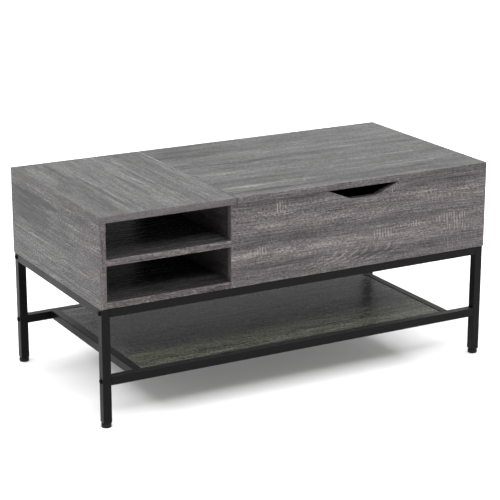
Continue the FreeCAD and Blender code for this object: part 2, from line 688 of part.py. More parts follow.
make_legs()
make_long_rails()
make_short_rails()
make_feet()
make_shelf()
make_box(make_linkage())
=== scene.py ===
import math
import random

import bmesh
import bpy
from mathutils import Matrix, Vector


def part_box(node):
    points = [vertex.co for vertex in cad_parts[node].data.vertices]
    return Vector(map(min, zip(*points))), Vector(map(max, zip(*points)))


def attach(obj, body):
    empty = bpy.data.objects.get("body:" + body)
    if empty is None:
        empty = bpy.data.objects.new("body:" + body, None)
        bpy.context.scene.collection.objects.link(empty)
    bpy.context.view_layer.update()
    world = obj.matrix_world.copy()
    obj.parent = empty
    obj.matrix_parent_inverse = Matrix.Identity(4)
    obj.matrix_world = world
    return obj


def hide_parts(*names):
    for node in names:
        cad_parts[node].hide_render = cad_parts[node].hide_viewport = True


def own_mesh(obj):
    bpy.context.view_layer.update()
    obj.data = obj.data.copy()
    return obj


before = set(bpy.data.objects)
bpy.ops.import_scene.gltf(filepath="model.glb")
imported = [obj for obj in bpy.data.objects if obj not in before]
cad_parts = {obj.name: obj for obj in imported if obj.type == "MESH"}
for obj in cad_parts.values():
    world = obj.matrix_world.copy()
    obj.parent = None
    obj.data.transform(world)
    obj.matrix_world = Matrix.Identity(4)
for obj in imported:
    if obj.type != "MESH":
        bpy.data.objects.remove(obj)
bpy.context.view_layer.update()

# Lift top coffee table: looks. Metres, +X along the length, -Y front, +Z up.
MM = 0.001
random.seed(11)


# ---- node helpers -------------------------------------------------------------------
class Nodes:
    """Short calls for building a node tree. A value is a number, a tuple or a socket."""

    def __init__(self, tree):
        self.tree = tree

    def make(self, kind, **settings):
        node = self.tree.nodes.new(kind)
        for key, value in settings.items():
            setattr(node, key, value)
        return node

    def put(self, socket, value):
        if isinstance(value, bpy.types.NodeSocket):
            self.tree.links.new(value, socket)
        elif value is not None:
            socket.default_value = value

    def math(self, operation, a, b=None, c=None):
        node = self.make("ShaderNodeMath", operation=operation)
        for socket, value in zip(node.inputs, (a, b, c)):
            self.put(socket, value)
        return node.outputs[0]

    def vector(self, operation, a, b=None):
        node = self.make("ShaderNodeVectorMath", operation=operation)
        self.put(node.inputs[0], a)
        self.put(node.inputs[1], b)
        return node.outputs["Value" if operation in ("DOT_PRODUCT", "LENGTH") else "Vector"]

    def split(self, vector):
        node = self.make("ShaderNodeSeparateXYZ")
        self.put(node.inputs[0], vector)
        return node.outputs

    def join(self, x, y, z):
        node = self.make("ShaderNodeCombineXYZ")
        for socket, value in zip(node.inputs, (x, y, z)):
            self.put(socket, value)
        return node.outputs[0]

    def noise(self, vector, scale=1.0, detail=2.0, roughness=0.5):
        node = self.make("ShaderNodeTexNoise")
        self.put(node.inputs["Vector"], vector)
        self.put(node.inputs["Scale"], scale)
        self.put(node.inputs["Detail"], detail)
        self.put(node.inputs["Roughness"], roughness)
        return node.outputs["Fac"]

    def fit(self, value, low, high, to_low=0.0, to_high=1.0, smooth=True):
        """The value's place between low and high, turned into one between the others."""
        node = self.make("ShaderNodeMapRange",
                         interpolation_type="SMOOTHSTEP" if smooth else "LINEAR")
        for name, number in (("From Min", low), ("From Max", high),
                             ("To Min", to_low), ("To Max", to_high)):
            node.inputs[name].default_value = number
        self.put(node.inputs["Value"], value)
        return node.outputs[0]

    def mix(self, factor, a, b, blend="MIX"):
        node = self.make("ShaderNodeMix", data_type="RGBA", blend_type=blend)
        self.put(node.inputs[0], factor)
        for socket, value in ((node.inputs[6], a), (node.inputs[7], b)):
            if isinstance(value, tuple) and len(value) == 3:
                value = (*value, 1.0)
            self.put(socket, value)
        return node.outputs[2]

    def mix_vector(self, factor, a, b):
        node = self.make("ShaderNodeMix", data_type="VECTOR")
        self.put(node.inputs[0], factor)
        self.put(node.inputs[4], a)
        self.put(node.inputs[5], b)
        return node.outputs[1]

    def ramp(self, value, stops):
        node = self.make("ShaderNodeValToRGB")
        self.put(node.inputs[0], value)
        elements = node.color_ramp.elements
        while len(elements) < len(stops):
            elements.new(0.5)
        for element, (place, colour) in zip(elements, stops):
            element.position = place
            element.color = (*colour, 1.0)
        return node.outputs[0]

    def bump(self, height, distance, strength):
        node = self.make("ShaderNodeBump")
        self.put(node.inputs["Height"], height)
        node.inputs["Distance"].default_value = distance
        node.inputs["Strength"].default_value = strength
        return node.outputs[0]


def new_material(name):
    """A material with its node helper, its shader and the object coordinates."""
    material = bpy.data.materials.new(name)
    material.use_nodes = True
    nodes = Nodes(material.node_tree)
    shader = material.node_tree.nodes["Principled BSDF"]
    coords = nodes.make("ShaderNodeTexCoord")
    return material, nodes, shader, coords


# ---- wood laminate ------------------------------------------------------------------
# Grey rustic oak, from its darkest grain to its palest. The upright faces have a pink cast,
# the tops a cool one. The lower shelf's front band, where light falls in, has an olive tint of
# painted light.
WOOD_STOPS = [(0.0, (0.022, 0.019, 0.021)), (0.25, (0.048, 0.043, 0.0455)),
              (0.5, (0.085, 0.078, 0.080)), (0.75, (0.132, 0.122, 0.123)),
              (1.0, (0.205, 0.195, 0.188))]
SIDE_TINT = (1.03, 0.985, 1.0)
LIT_BAND_TINT = (0.957, 1.0, 0.79)
TOP_TINT = (0.923, 0.997, 0.975)
YELLOW_TINT = (0.97, 1.0, 0.84)             # of broad streaks and of pale patches
SEAM_HIGHLIGHT_COLOUR = (0.46, 0.46, 0.45)             # painted highlight: a pale line on the fixed top, beside the seam
PORE_COLOUR = (0.03, 0.027, 0.027)
LIT_BAND_BLUR = 12.0 * MM                      # half width of the soft edge of the olive tint painted on the shelf's lit band
MIDDLE_SHADE = 0.462                        # place on the ramp of a plain board
GRAIN_RELIEF = 0.2 * MM
SAW_PITCH = 7.2 * MM


class Board:
    """Coordinates on one board: u along the grain, v across it, w through the board. On
    the ends of the board the grain turns along the edge, as on an edge band."""

    def __init__(self, n, coords, grain, across, offset):
        index = {"x": 0, "y": 1, "z": 2}
        third = ({"x", "y", "z"} - {grain, across}).pop()
        parts = n.split(coords.outputs["Object"])
        self.n = n
        self.facing = n.split(coords.outputs["Normal"])
        self.u, self.v, self.w = (parts[index[axis]] for axis in (grain, across, third))
        self.on_end = n.fit(n.math("ABSOLUTE", self.facing[index[grain]]), 0.6, 0.8)
        self.on_face = n.fit(n.math("ABSOLUTE", self.facing[index[third]]), 0.6, 0.8)
        body = n.join(self.u, self.v, self.w)
        end = n.join(n.math("ADD", self.v, 3.7), n.math("ADD", self.w, 1.3), self.u)
        place = n.vector("ADD", n.mix_vector(self.on_end, body, end), offset)
        sway = n.noise(n.vector("MULTIPLY", place, (2.5, 12.0, 12.0)), detail=2.0)
        sway = n.math("MULTIPLY", n.math("SUBTRACT", sway, 0.5), 0.03)
        self.place = n.vector("ADD", place, n.join(0.0, sway, 0.0))
        jitter = n.noise(n.vector("MULTIPLY", place, (30.0, 120.0, 120.0)), detail=2.0)
        jitter = n.math("SUBTRACT", jitter, 0.5)
        ragged = n.join(n.math("MULTIPLY", jitter, 0.06), n.math("MULTIPLY", jitter, 0.012),
                        0.0)
        self.spot = n.vector("ADD", n.join(self.u, self.v, 0.0), ragged)

    def layer(self, along, over, detail=2.0, roughness=0.5):
        """Noise stretched along the grain."""
        return self.n.noise(self.n.vector("MULTIPLY", self.place, (along, over, over)),
                            detail=detail, roughness=roughness)

    def total(self, layers, start=0.0):
        """Layers weighed and added up, each counted from its middle value."""
        for value, amount in layers:
            start = self.n.math("MULTIPLY_ADD", self.n.math("SUBTRACT", value, 0.5), amount,
                                start)
        return start

    def lens(self, middle_u, middle_v, half_u, half_v, inner=0.3):
        """A soft ragged patch of the face: 1 in its middle, 0 outside."""
        n = self.n
        away = n.vector("SUBTRACT", self.spot, (middle_u, middle_v, 0.0))
        away = n.vector("MULTIPLY", away, (1.0 / half_u, 1.0 / half_v, 0.0))
        return n.fit(n.vector("LENGTH", away), 1.15, inner)

    def patches(self, rows):
        """Pale and dark patches added up: rows of place, half sizes and amount."""
        total = None
        for middle_u, middle_v, half_u, half_v, amount in rows:
            soft = self.n.math("MULTIPLY", self.lens(middle_u, middle_v, half_u, half_v),
                               amount)
            total = soft if total is None else self.n.math("ADD", total, soft)
        return total

    def saw_marks(self, rows):
        """Pale ticks across the grain, in patches."""
        n = self.n
        wander = n.noise(n.join(n.math("MULTIPLY", self.u, 45.0), 0.0, 0.0), detail=1.0)
        lean = n.math("MULTIPLY", self.v, 60.0)
        phase = n.math("MULTIPLY_ADD", self.u, 2 * math.pi / SAW_PITCH,
                       n.math("MULTIPLY_ADD", wander, 7.0, lean))
        tick = n.fit(n.math("SINE", phase), 0.3, 0.95)
        reach = n.noise(n.join(n.math("MULTIPLY", self.u, 150.0),
                               n.math("MULTIPLY", self.v, 45.0), 0.0), detail=1.0)
        tick = n.math("MULTIPLY", tick, n.fit(reach, 0.36, 0.56))
        where = None
        for row in rows:
            here = self.lens(*row[:4], inner=0.7)
            here = n.math("MULTIPLY", here, row[4])
            where = here if where is None else n.math("MAXIMUM", where, here)
        return n.math("MULTIPLY", tick, where)

    def arches(self, tip_u, reach_u, middle_v, half_v, bend, pitch):
        """Thin nested arches, the lower half of a cathedral figure open towards lower u."""
        n = self.n
        off = n.math("SUBTRACT", self.v, middle_v)
        wobble = n.noise(n.vector("MULTIPLY", self.place, (9.0, 40.0, 0.0)), detail=2.0)
        run = n.math("MULTIPLY_ADD", n.math("MULTIPLY", off, off), bend, self.u)
        run = n.math("MULTIPLY_ADD", wobble, 0.03, run)
        line = n.fit(n.math("SINE", n.math("MULTIPLY", run, 2 * math.pi / pitch)),
                     0.2, 1.0)
        within = n.math("MULTIPLY", n.fit(run, tip_u, tip_u + 0.03),
                        n.fit(run, tip_u + reach_u, tip_u + reach_u * 0.7))
        inside = n.math("MULTIPLY", n.fit(off, 0.003, -0.011),
                        n.fit(off, -half_v, -half_v * 0.6))
        return n.math("MULTIPLY", line, n.math("MULTIPLY", within, inside))


def board_figure(board, patches, arches):
    """Pale and dark patches and arches of one face, added up, or None if it has none."""
    n = board.n
    figure = board.patches(patches) if patches else None
    for row in arches:
        arch = n.math("MULTIPLY", board.arches(*row[:6]), row[6])
        figure = arch if figure is None else n.math("ADD", figure, arch)
    if figure is not None:
        figure = n.math("MULTIPLY", figure, board.on_face)
    return figure


def cast(board, colour, blush, lit_band_from):
    """The colour with the pink or cool cast of its part of the board, and the olive tint painted
    as light on the lit front band of the lower shelf.
    """
    n = board.n
    pink = n.fit(n.math("ABSOLUTE", board.facing[2]), 0.5, 0.9, 1.0, 0.0)
    if blush:
        pink = n.math("MULTIPLY", pink, n.fit(board.u, blush[0], blush[1]))
    colour = n.mix(1.0, colour, n.mix(pink, TOP_TINT, SIDE_TINT), "MULTIPLY")
    # Painted light: the front band of the shelf, where light falls in under the box, is tinted
    # olive.
    if lit_band_from:
        lit_band = n.fit(board.v, lit_band_from + LIT_BAND_BLUR, lit_band_from - LIT_BAND_BLUR)
        colour = n.mix(lit_band, colour, LIT_BAND_TINT, "MULTIPLY")
    return colour


def wood(name, grain, across, offset, tone=0.0, patches=(), marks=(), arches=(),
         rough=0.5, level=0.25, edge=0.0, end=0.0, fine=1.0,
         coarse=1.0, blush=None, rim=None, lit_band_from=None):
    """The laminate of one board. tone, edge and end shift the shade of the whole board, of
    its long edges and of its ends; fine and coarse set how strong its grain is. blush says
    where along the grain the pink cast starts and where it is full. rim and the last argument
    are places across the grain: of a painted highlight line, and of where a painted olive light
    tint begins."""
    material, n, shader, coords = new_material(name)
    board = Board(n, coords, grain, across, offset)
    bands = board.layer(0.9, 17.0)
    stripes = board.layer(1.6, 45.0)
    streaks = board.layer(4.0, 95.0, 3.0, 0.6)
    lines = board.layer(12.0, 380.0, 2.0, 0.6)
    dashes = board.layer(150.0, 620.0, 2.0, 0.6)
    weave = board.layer(500.0, 100.0, 1.0)
    fibres = board.layer(90.0, 1300.0, 2.0, 0.6)
    small = board.total(((lines, 1.2 * fine), (dashes, 1.9 * fine), (weave, 0.5 * fine)))
    small = n.math("MULTIPLY", small, n.fit(board.on_end, 0.0, 1.0, 1.0, 0.6))
    large = board.total(((bands, 0.5), (stripes, 0.5 * coarse), (streaks, 0.5 * coarse),
                         (fibres, 0.5)), MIDDLE_SHADE + tone)
    shade = n.math("ADD", small, large)
    banded = n.math("SUBTRACT", 1.0, n.math("MAXIMUM", board.on_face, board.on_end))
    shade = n.math("MULTIPLY_ADD", banded, edge, shade)
    shade = n.math("MULTIPLY_ADD", board.on_end, end, shade)
    relief = n.math("ADD", n.math("MULTIPLY", fibres, 0.7), n.math("MULTIPLY", dashes, 0.5))

    yellow = n.fit(board.layer(6.0, 40.0), 0.52, 0.68)
    figure = board_figure(board, patches, arches)
    if figure is not None:
        pale = n.math("MULTIPLY", n.fit(figure, 0.08, 0.30), n.fit(streaks, 0.40, 0.60))
        yellow = n.math("MAXIMUM", yellow, pale)
        grainy = n.fit(dashes, 0.38, 0.62, 0.3, 1.5, smooth=False)
        shade = n.math("MULTIPLY_ADD", figure, grainy, shade)
    if marks:
        ticks = n.math("MULTIPLY", board.saw_marks(marks), board.on_face)
        shade = n.math("MULTIPLY_ADD", ticks, 1.1, shade)
        relief = n.math("MULTIPLY_ADD", ticks, -0.6, relief)

    colour = cast(board, n.ramp(shade, WOOD_STOPS), blush, lit_band_from)
    # Painted highlight: a pale line on the fixed top's face beside the seam, for light caught on
    # its edge.
    if rim:
        line = n.math("MULTIPLY", n.fit(board.v, rim - 1.8 * MM, rim - 0.6 * MM),
                      n.fit(board.u, -0.2, 0.1, 0.1, 0.9))
        colour = n.mix(n.math("MULTIPLY", line, board.on_face), colour, SEAM_HIGHLIGHT_COLOUR)
    colour = n.mix(n.math("MULTIPLY", yellow, 0.36), colour, YELLOW_TINT, "MULTIPLY")
    pores = n.fit(board.layer(45.0, 1100.0, 1.0), 0.64, 0.76)
    colour = n.mix(n.math("MULTIPLY", pores, 0.5), colour, PORE_COLOUR)
    relief = n.math("MULTIPLY_ADD", pores, -0.8, relief)
    n.put(shader.inputs["Base Color"], colour)
    n.put(shader.inputs["Roughness"], n.fit(streaks, 0.3, 0.7, rough - 0.05, rough + 0.06))
    shader.inputs["Specular IOR Level"].default_value = level
    n.put(shader.inputs["Normal"], n.bump(relief, GRAIN_RELIEF, 0.6))
    return material


# ---- metal, plastic and rubber ------------------------------------------------------
TOP_SHEEN = 0.42                            # least specular level of paint that faces up


def painted(name, colour, rough, grain=900.0, depth=0.05, level=0.5, dust_and_sheen_amount=0.25):
    """Paint with a fine orange-peel texture. What faces up has more gloss and is paled, partly by
    faint dust and partly by a painted sheen.
    """
    material, n, shader, coords = new_material(name)
    place = coords.outputs["Object"]
    up = n.split(coords.outputs["Normal"])[2]
    peel = n.noise(place, scale=grain, detail=2.0)
    cloud = n.noise(place, scale=9.0, detail=3.0)
    pale = tuple(min(1.0, c * 2.6 + 0.012) for c in colour)
    # Upward faces paled: part dust, part painted sheen standing in for light on the tops.
    dust_and_sheen = n.math("MULTIPLY", n.fit(up, 0.5, 1.0), n.fit(cloud, 0.35, 0.75, 0.2, dust_and_sheen_amount))
    varied = n.mix(n.fit(cloud, 0.3, 0.7), tuple(c * 0.86 for c in colour),
                   tuple(c * 1.16 for c in colour))
    n.put(shader.inputs["Base Color"], n.mix(dust_and_sheen, varied, pale))
    n.put(shader.inputs["Roughness"], n.fit(cloud, 0.3, 0.7, rough - 0.04, rough + 0.06))
    n.put(shader.inputs["Specular IOR Level"], n.fit(up, 0.7, 0.95, level, max(level, TOP_SHEEN)))
    n.put(shader.inputs["Normal"], n.bump(peel, depth * MM, 0.5))
    return material


def plated(name, colour, rough):
    """Bare or plated metal with fine marks and dull patches."""
    material, n, shader, coords = new_material(name)
    marks = n.noise(coords.outputs["Object"], scale=500.0, detail=2.0)
    cloud = n.noise(coords.outputs["Object"], scale=60.0, detail=3.0)
    dull = tuple(c * 0.72 for c in colour)
    n.put(shader.inputs["Base Color"], n.mix(n.fit(cloud, 0.4, 0.75), colour, dull))
    shader.inputs["Metallic"].default_value = 1.0
    n.put(shader.inputs["Roughness"], n.fit(marks, 0.3, 0.7, rough - 0.07, rough + 0.12))
    n.put(shader.inputs["Normal"], n.bump(marks, 0.02 * MM, 0.4))
    return material


def moulded(name, colour, rough, level):
    """Moulded plastic or rubber with a fine grained skin."""
    material, n, shader, coords = new_material(name)
    grain = n.noise(coords.outputs["Object"], scale=1400.0, detail=1.0)
    cloud = n.noise(coords.outputs["Object"], scale=80.0, detail=2.0)
    n.put(shader.inputs["Base Color"],
          n.mix(n.fit(cloud, 0.3, 0.7), colour, tuple(c * 1.5 + 0.001 for c in colour)))
    n.put(shader.inputs["Roughness"], n.fit(cloud, 0.3, 0.7, rough - 0.05, rough + 0.08))
    shader.inputs["Specular IOR Level"].default_value = level
    n.put(shader.inputs["Normal"], n.bump(grain, 0.06 * MM, 0.5))
    return material


def plain_beech(name):
    """Beech with its grain along Y, for the dowels."""
    material, n, shader, coords = new_material(name)
    grain = n.noise(n.vector("MULTIPLY", coords.outputs["Object"], (300.0, 60.0, 300.0)),
                    detail=3.0)
    n.put(shader.inputs["Base Color"],
          n.ramp(grain, [(0.3, (0.42, 0.27, 0.14)), (0.7, (0.62, 0.45, 0.27))]))
    n.put(shader.inputs["Roughness"], n.fit(grain, 0.3, 0.7, 0.5, 0.7))
    return material


steel = painted("powder_coated_steel", (0.002, 0.002, 0.0021), 0.38, level=0.105)
linkage_paint = painted("linkage_steel", (0.02, 0.02, 0.021), 0.38, level=0.5)
bolt_black = painted("black_bolts", (0.0015, 0.0015, 0.0016), 0.45, grain=1500.0,
                     depth=0.02, level=0.05, dust_and_sheen_amount=0.05)
zinc = plated("zinc_steel", (0.62, 0.62, 0.60), 0.34)
spring_wire = plated("spring_steel", (0.45, 0.45, 0.46), 0.28)
plastic = moulded("black_plastic", (0.004, 0.004, 0.004), 0.45, 0.15)
rubber = moulded("bumper_rubber", (0.018, 0.018, 0.018), 0.7, 0.2)
beech = plain_beech("beech")

# Figure of each board, in the frame's metres. Patches: place along and across the grain,
# half sizes, amount. Saw marks: the same. Arches: tip and reach along the grain, middle and
# half height across it, bend, pitch and amount.
FRONT_PATCHES = [
    (0.17, 0.303, 0.13, 0.013, -0.08),
    (-0.06, 0.460, 0.16, 0.013, -0.16), (0.38, 0.452, 0.15, 0.013, -0.17),
    (-0.07, 0.432, 0.10, 0.010, 0.10), (0.02, 0.443, 0.09, 0.004, 0.10),
    (0.31, 0.427, 0.065, 0.006, 0.28), (0.45, 0.425, 0.060, 0.006, 0.24),
    (-0.09, 0.403, 0.060, 0.008, 0.16), (0.09, 0.401, 0.050, 0.009, 0.22),
    (0.27, 0.413, 0.07, 0.004, -0.18), (0.21, 0.398, 0.06, 0.007, 0.12),
    (-0.05, 0.371, 0.20, 0.016, -0.20), (0.27, 0.373, 0.20, 0.011, -0.14),
    (-0.15, 0.341, 0.055, 0.008, 0.38), (-0.045, 0.340, 0.040, 0.007, 0.34),
    (0.055, 0.340, 0.045, 0.008, 0.30), (0.12, 0.343, 0.050, 0.005, 0.14),
    (-0.10, 0.310, 0.17, 0.009, -0.22), (0.20, 0.300, 0.08, 0.016, -0.10),
    (0.40, 0.303, 0.10, 0.010, -0.10), (0.30, 0.353, 0.05, 0.004, 0.20),
    (0.16, 0.295, 0.60, 0.040, -0.13)]
FRONT_MARKS = [
    (-0.065, 0.443, 0.014, 0.016, 0.8), (-0.112, 0.345, 0.013, 0.012, 1.0),
    (0.243, 0.448, 0.010, 0.010, 0.6), (0.215, 0.344, 0.036, 0.014, 0.5),
    (0.293, 0.354, 0.038, 0.007, 1.0), (0.403, 0.357, 0.045, 0.012, 1.0),
    (0.410, 0.335, 0.035, 0.013, 0.5), (0.400, 0.300, 0.036, 0.012, 0.35)]
FRONT_ARCHES = [(0.05, 0.27, 0.318, 0.042, 70.0, 0.030, 0.36),
                (-0.26, 0.45, 0.285, 0.016, 12.0, 0.06, 0.14)]
FIXED_PATCHES = [
    (-0.08, -0.297, 0.20, 0.004, 0.20), (-0.10, -0.270, 0.18, 0.006, 0.16),
    (0.12, -0.270, 0.16, 0.006, 0.18), (-0.05, -0.228, 0.22, 0.006, 0.18),
    (0.00, -0.395, 0.18, 0.006, 0.12), (0.14, -0.465, 0.12, 0.020, 0.20),
    (-0.08, -0.407, 0.20, 0.006, -0.24), (0.05, -0.425, 0.20, 0.015, -0.12),
    (-0.15, -0.44, 0.12, 0.020, -0.12), (0.0, -0.323, 0.22, 0.007, -0.14),
    (0.10, -0.200, 0.14, 0.008, -0.08)]
LIFT_PATCHES = [
    (-0.09, -0.172, 0.080, 0.009, 0.42), (0.02, -0.172, 0.10, 0.006, 0.22),
    (0.34, -0.155, 0.20, 0.006, 0.20), (-0.10, -0.045, 0.08, 0.010, 0.24),
    (0.05, -0.048, 0.10, 0.008, 0.12), (0.33, -0.060, 0.17, 0.007, 0.20),
    (0.32, 0.055, 0.18, 0.004, 0.14), (-0.05, 0.077, 0.13, 0.007, -0.22),
    (0.42, 0.080, 0.10, 0.006, -0.16), (-0.04, -0.118, 0.14, 0.008, -0.18),
    (0.25, -0.190, 0.20, 0.010, -0.12), (-0.08, -0.215, 0.09, 0.012, -0.16),
    (-0.08, 0.150, 0.14, 0.110, -0.09), (-0.11, 0.200, 0.07, 0.040, -0.08),
    (0.30, 0.187, 0.20, 0.008, -0.14), (0.02, 0.030, 0.16, 0.010, -0.10),
    (0.10, 0.12, 0.30, 0.02, 0.06), (0.20, -0.105, 0.20, 0.008, 0.10)]
LIFT_MARKS = [(0.31, 0.03, 0.035, 0.035, 0.2), (0.0, 0.13, 0.05, 0.03, 0.15),
              (-0.09, -0.172, 0.03, 0.012, 0.3), (0.42, -0.15, 0.04, 0.012, 0.2)]
LEFT_PATCHES = [
    (0.10, 0.437, 0.15, 0.011, -0.40), (-0.14, 0.440, 0.10, 0.010, -0.20),
    (0.12, 0.395, 0.17, 0.028, -0.16), (-0.11, 0.420, 0.04, 0.006, 0.30),
    (0.13, 0.346, 0.14, 0.004, 0.42), (-0.03, 0.343, 0.05, 0.005, 0.28),
    (0.05, 0.322, 0.22, 0.022, 0.16), (-0.10, 0.329, 0.07, 0.006, 0.26),
    (0.05, 0.362, 0.10, 0.006, -0.20), (0.0, 0.288, 0.24, 0.004, -0.28),
    (-0.14, 0.373, 0.04, 0.003, 0.24), (-0.20, 0.330, 0.05, 0.010, 0.16),
    (-0.16, 0.400, 0.10, 0.012, 0.12), (0.06, 0.418, 0.16, 0.003, 0.16),
    (0.18, 0.40, 0.16, 0.06, -0.18)]
PLAIN_PATCHES = [
    (-0.20, 0.43, 0.12, 0.007, 0.20), (0.15, 0.40, 0.15, 0.006, 0.18),
    (0.0, 0.37, 0.25, 0.012, -0.18), (0.30, 0.34, 0.12, 0.008, 0.26),
    (-0.25, 0.32, 0.15, 0.008, -0.16), (0.05, 0.30, 0.15, 0.006, 0.16),
    (0.35, 0.44, 0.12, 0.010, -0.16), (-0.38, 0.38, 0.08, 0.008, 0.22)]
PLAIN_MARKS = [(-0.20, 0.35, 0.05, 0.015, 0.8), (0.12, 0.42, 0.04, 0.014, 0.7),
               (0.28, 0.33, 0.05, 0.018, 1.0), (-0.40, 0.31, 0.03, 0.012, 0.6)]
SHELF_PATCHES = [
    (0.00, -0.226, 0.60, 0.014, -0.28), (0.00, -0.190, 0.60, 0.050, -0.09),
    (0.22, -0.02, 0.24, 0.11, -0.10),
    (-0.33, -0.150, 0.10, 0.005, 0.30), (-0.12, -0.163, 0.16, 0.004, 0.24),
    (0.12, -0.172, 0.14, 0.004, -0.30), (0.30, -0.150, 0.16, 0.007, -0.26),
    (-0.25, -0.190, 0.18, 0.005, -0.28), (-0.02, -0.196, 0.12, 0.006, 0.24),
    (0.24, -0.212, 0.16, 0.006, -0.24), (-0.32, -0.218, 0.12, 0.004, 0.22),
    (-0.30, -0.165, 0.08, 0.006, 0.22), (0.05, -0.150, 0.10, 0.006, 0.18),
    (-0.10, -0.200, 0.30, 0.010, -0.12), (0.30, -0.190, 0.12, 0.006, 0.16),
    (-0.24, -0.015, 0.12, 0.004, -0.2), (-0.10, -0.110, 0.30, 0.012, -0.10),
    (0.15, 0.04, 0.2, 0.02, 0.08)]

BOARDS = {
    "fixed_top": wood("oak_fixed_top", "y", "x", (0.4, 0.2, 0.1), patches=FIXED_PATCHES,
                      edge=-0.24, fine=0.8, coarse=0.55, rim=-0.17075),
    "lift_top": wood("oak_lift_top", "x", "y", (2.1, 0.6, 0.3), patches=LIFT_PATCHES,
                     marks=LIFT_MARKS, edge=-0.13, tone=-0.025, fine=0.85),
    # Darker edge band, deepened as painted shade for the notch's cut faces, which sit in shade
    # under the lift top.
    "front_panel": wood("oak_front", "x", "z", (0.7, 1.9, 0.8), patches=FRONT_PATCHES,
                        marks=FRONT_MARKS, arches=FRONT_ARCHES, edge=-0.22, end=-0.10,
                        coarse=0.85),
    "rear_panel": wood("oak_rear", "x", "z", (5.3, 2.4, 0.2), patches=PLAIN_PATCHES,
                       marks=PLAIN_MARKS,
                       arches=[(-0.10, 0.28, 0.35, 0.050, 80.0, 0.026, 0.28)]),
    # Painted shade: the left panel is darkened well below the other boards, against the strong
    # side glow on it.
    "left_panel": wood("oak_left", "y", "z", (1.2, 3.3, 0.9), patches=LEFT_PATCHES,
                       tone=-0.145, end=0.14, blush=(-0.08, -0.25), fine=1.5,
                       coarse=0.8),
    "right_panel": wood("oak_right", "y", "z", (7.7, 0.4, 0.6),
                        patches=PLAIN_PATCHES, marks=PLAIN_MARKS,
                        arches=[(-0.15, 0.26, 0.33, 0.045, 80.0, 0.025, 0.26)]),
    # Painted shade: the divider and the cubby shelf and bottom are darkened well below the other
    # boards, for the shade inside the cubbies.
    "divider_panel": wood("oak_divider", "y", "z", (3.9, 1.4, 2.6), tone=-0.45,
                          level=0.12),
    # Painted shade on the faces inside the cubbies; the front edges are lifted back to the plain
    # tone.
    "cubby_shelf": wood("oak_cubby_shelf", "x", "y", (6.1, 5.0, 1.1), rough=0.28,
                        level=0.025, tone=-0.34, edge=0.43),
    "cubby_bottom": wood("oak_cubby_bottom", "x", "y", (4.5, 3.8, 0.7), rough=0.28,
                         level=0.025, tone=-0.34, edge=0.39),
    "storage_bottom": wood("oak_storage_bottom", "x", "y", (8.2, 6.1, 0.5)),
    # Painted light: the shelf's front band, lit from the front under the box, gets an olive tint.
    "lower_shelf": wood("oak_shelf", "x", "y", (9.4, 1.7, 0.3), patches=SHELF_PATCHES,
                        rough=0.24, level=0.24, tone=-0.03, fine=2.6, lit_band_from=-0.130),
}


FINISHES = [
    (plastic, ("leg_plugs", "foot_")),
    (bolt_black, ("frame_bolts", "box_screws", "shelf_screws")),
    (steel, ("leg_", "top_rail", "lower_rail", "side_rail", "cross_rail", "shelf_tabs")),
    (zinc, ("base_bracket_screws", "top_bracket_screws", "cam_", "base_pivot_pins",
            "rear_top_pins", "front_top_pin", "lever_studs", "spring_anchor_studs",
            "rail_end_nuts")),
    (linkage_paint, ("base_bracket", "top_bracket", "rear_arm", "front_arm", "cross_tube")),
    (spring_wire, ("spring_",)),
    (beech, ("wood_dowels",)),
    (rubber, ("lid_bumpers",)),
]


def finish_for(node):
    """The material of a CAD node that is not a board: the first whose start fits."""
    for material, starts in FINISHES:
        if node.startswith(starts):
            return material
    raise ValueError("no finish for " + node)


for node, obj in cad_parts.items():
    material = BOARDS.get(node) or finish_for(node)
    if not obj.material_slots:
        obj.data.materials.append(material)
    for slot in obj.material_slots:
        slot.material = material


# ---- pieces -------------------------------------------------------------------------
def add_piece(name, mesh_builder, material, body):
    """A new piece from a bmesh, riding on one body."""
    mesh = bpy.data.meshes.new(name)
    mesh_builder.to_mesh(mesh)
    mesh_builder.free()
    mesh.materials.append(material)
    for polygon in mesh.polygons:
        polygon.use_smooth = True
    piece = bpy.data.objects.new(name, mesh)
    bpy.context.collection.objects.link(piece)
    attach(piece, body)
    return piece


def sweep(points, radius, sides):
    """A round bar along a path of points, closed by flat ends."""
    mesh = bmesh.new()
    rings = []
    normal = None
    for i, point in enumerate(points):
        ahead = points[min(i + 1, len(points) - 1)] - points[max(i - 1, 0)]
        ahead.normalize()
        if normal is None:
            normal = ahead.orthogonal()
        normal = (normal - ahead * normal.dot(ahead)).normalized()
        binormal = ahead.cross(normal)
        ring = []
        for k in range(sides):
            turn = 2 * math.pi * k / sides
            ring.append(mesh.verts.new(point + (normal * math.cos(turn)
                                                + binormal * math.sin(turn)) * radius))
        rings.append(ring)
    for first, second in zip(rings, rings[1:]):
        for k in range(sides):
            mesh.faces.new((first[k], first[(k + 1) % sides], second[(k + 1) % sides],
                            second[k]))
    mesh.faces.new(list(reversed(rings[0])))
    mesh.faces.new(rings[-1])
    return mesh


def hook(y, z, x, first_turn, last_turn):
    """Part of a loop in the YZ plane round a stud, between two angles in degrees."""
    turns = [first_turn + (last_turn - first_turn) * k / HOOK_STEPS
             for k in range(HOOK_STEPS + 1)]
    return [Vector((x, y + SPRING_HOOK * math.cos(math.radians(a)),
                    z + SPRING_HOOK * math.sin(math.radians(a)))) for a in turns]


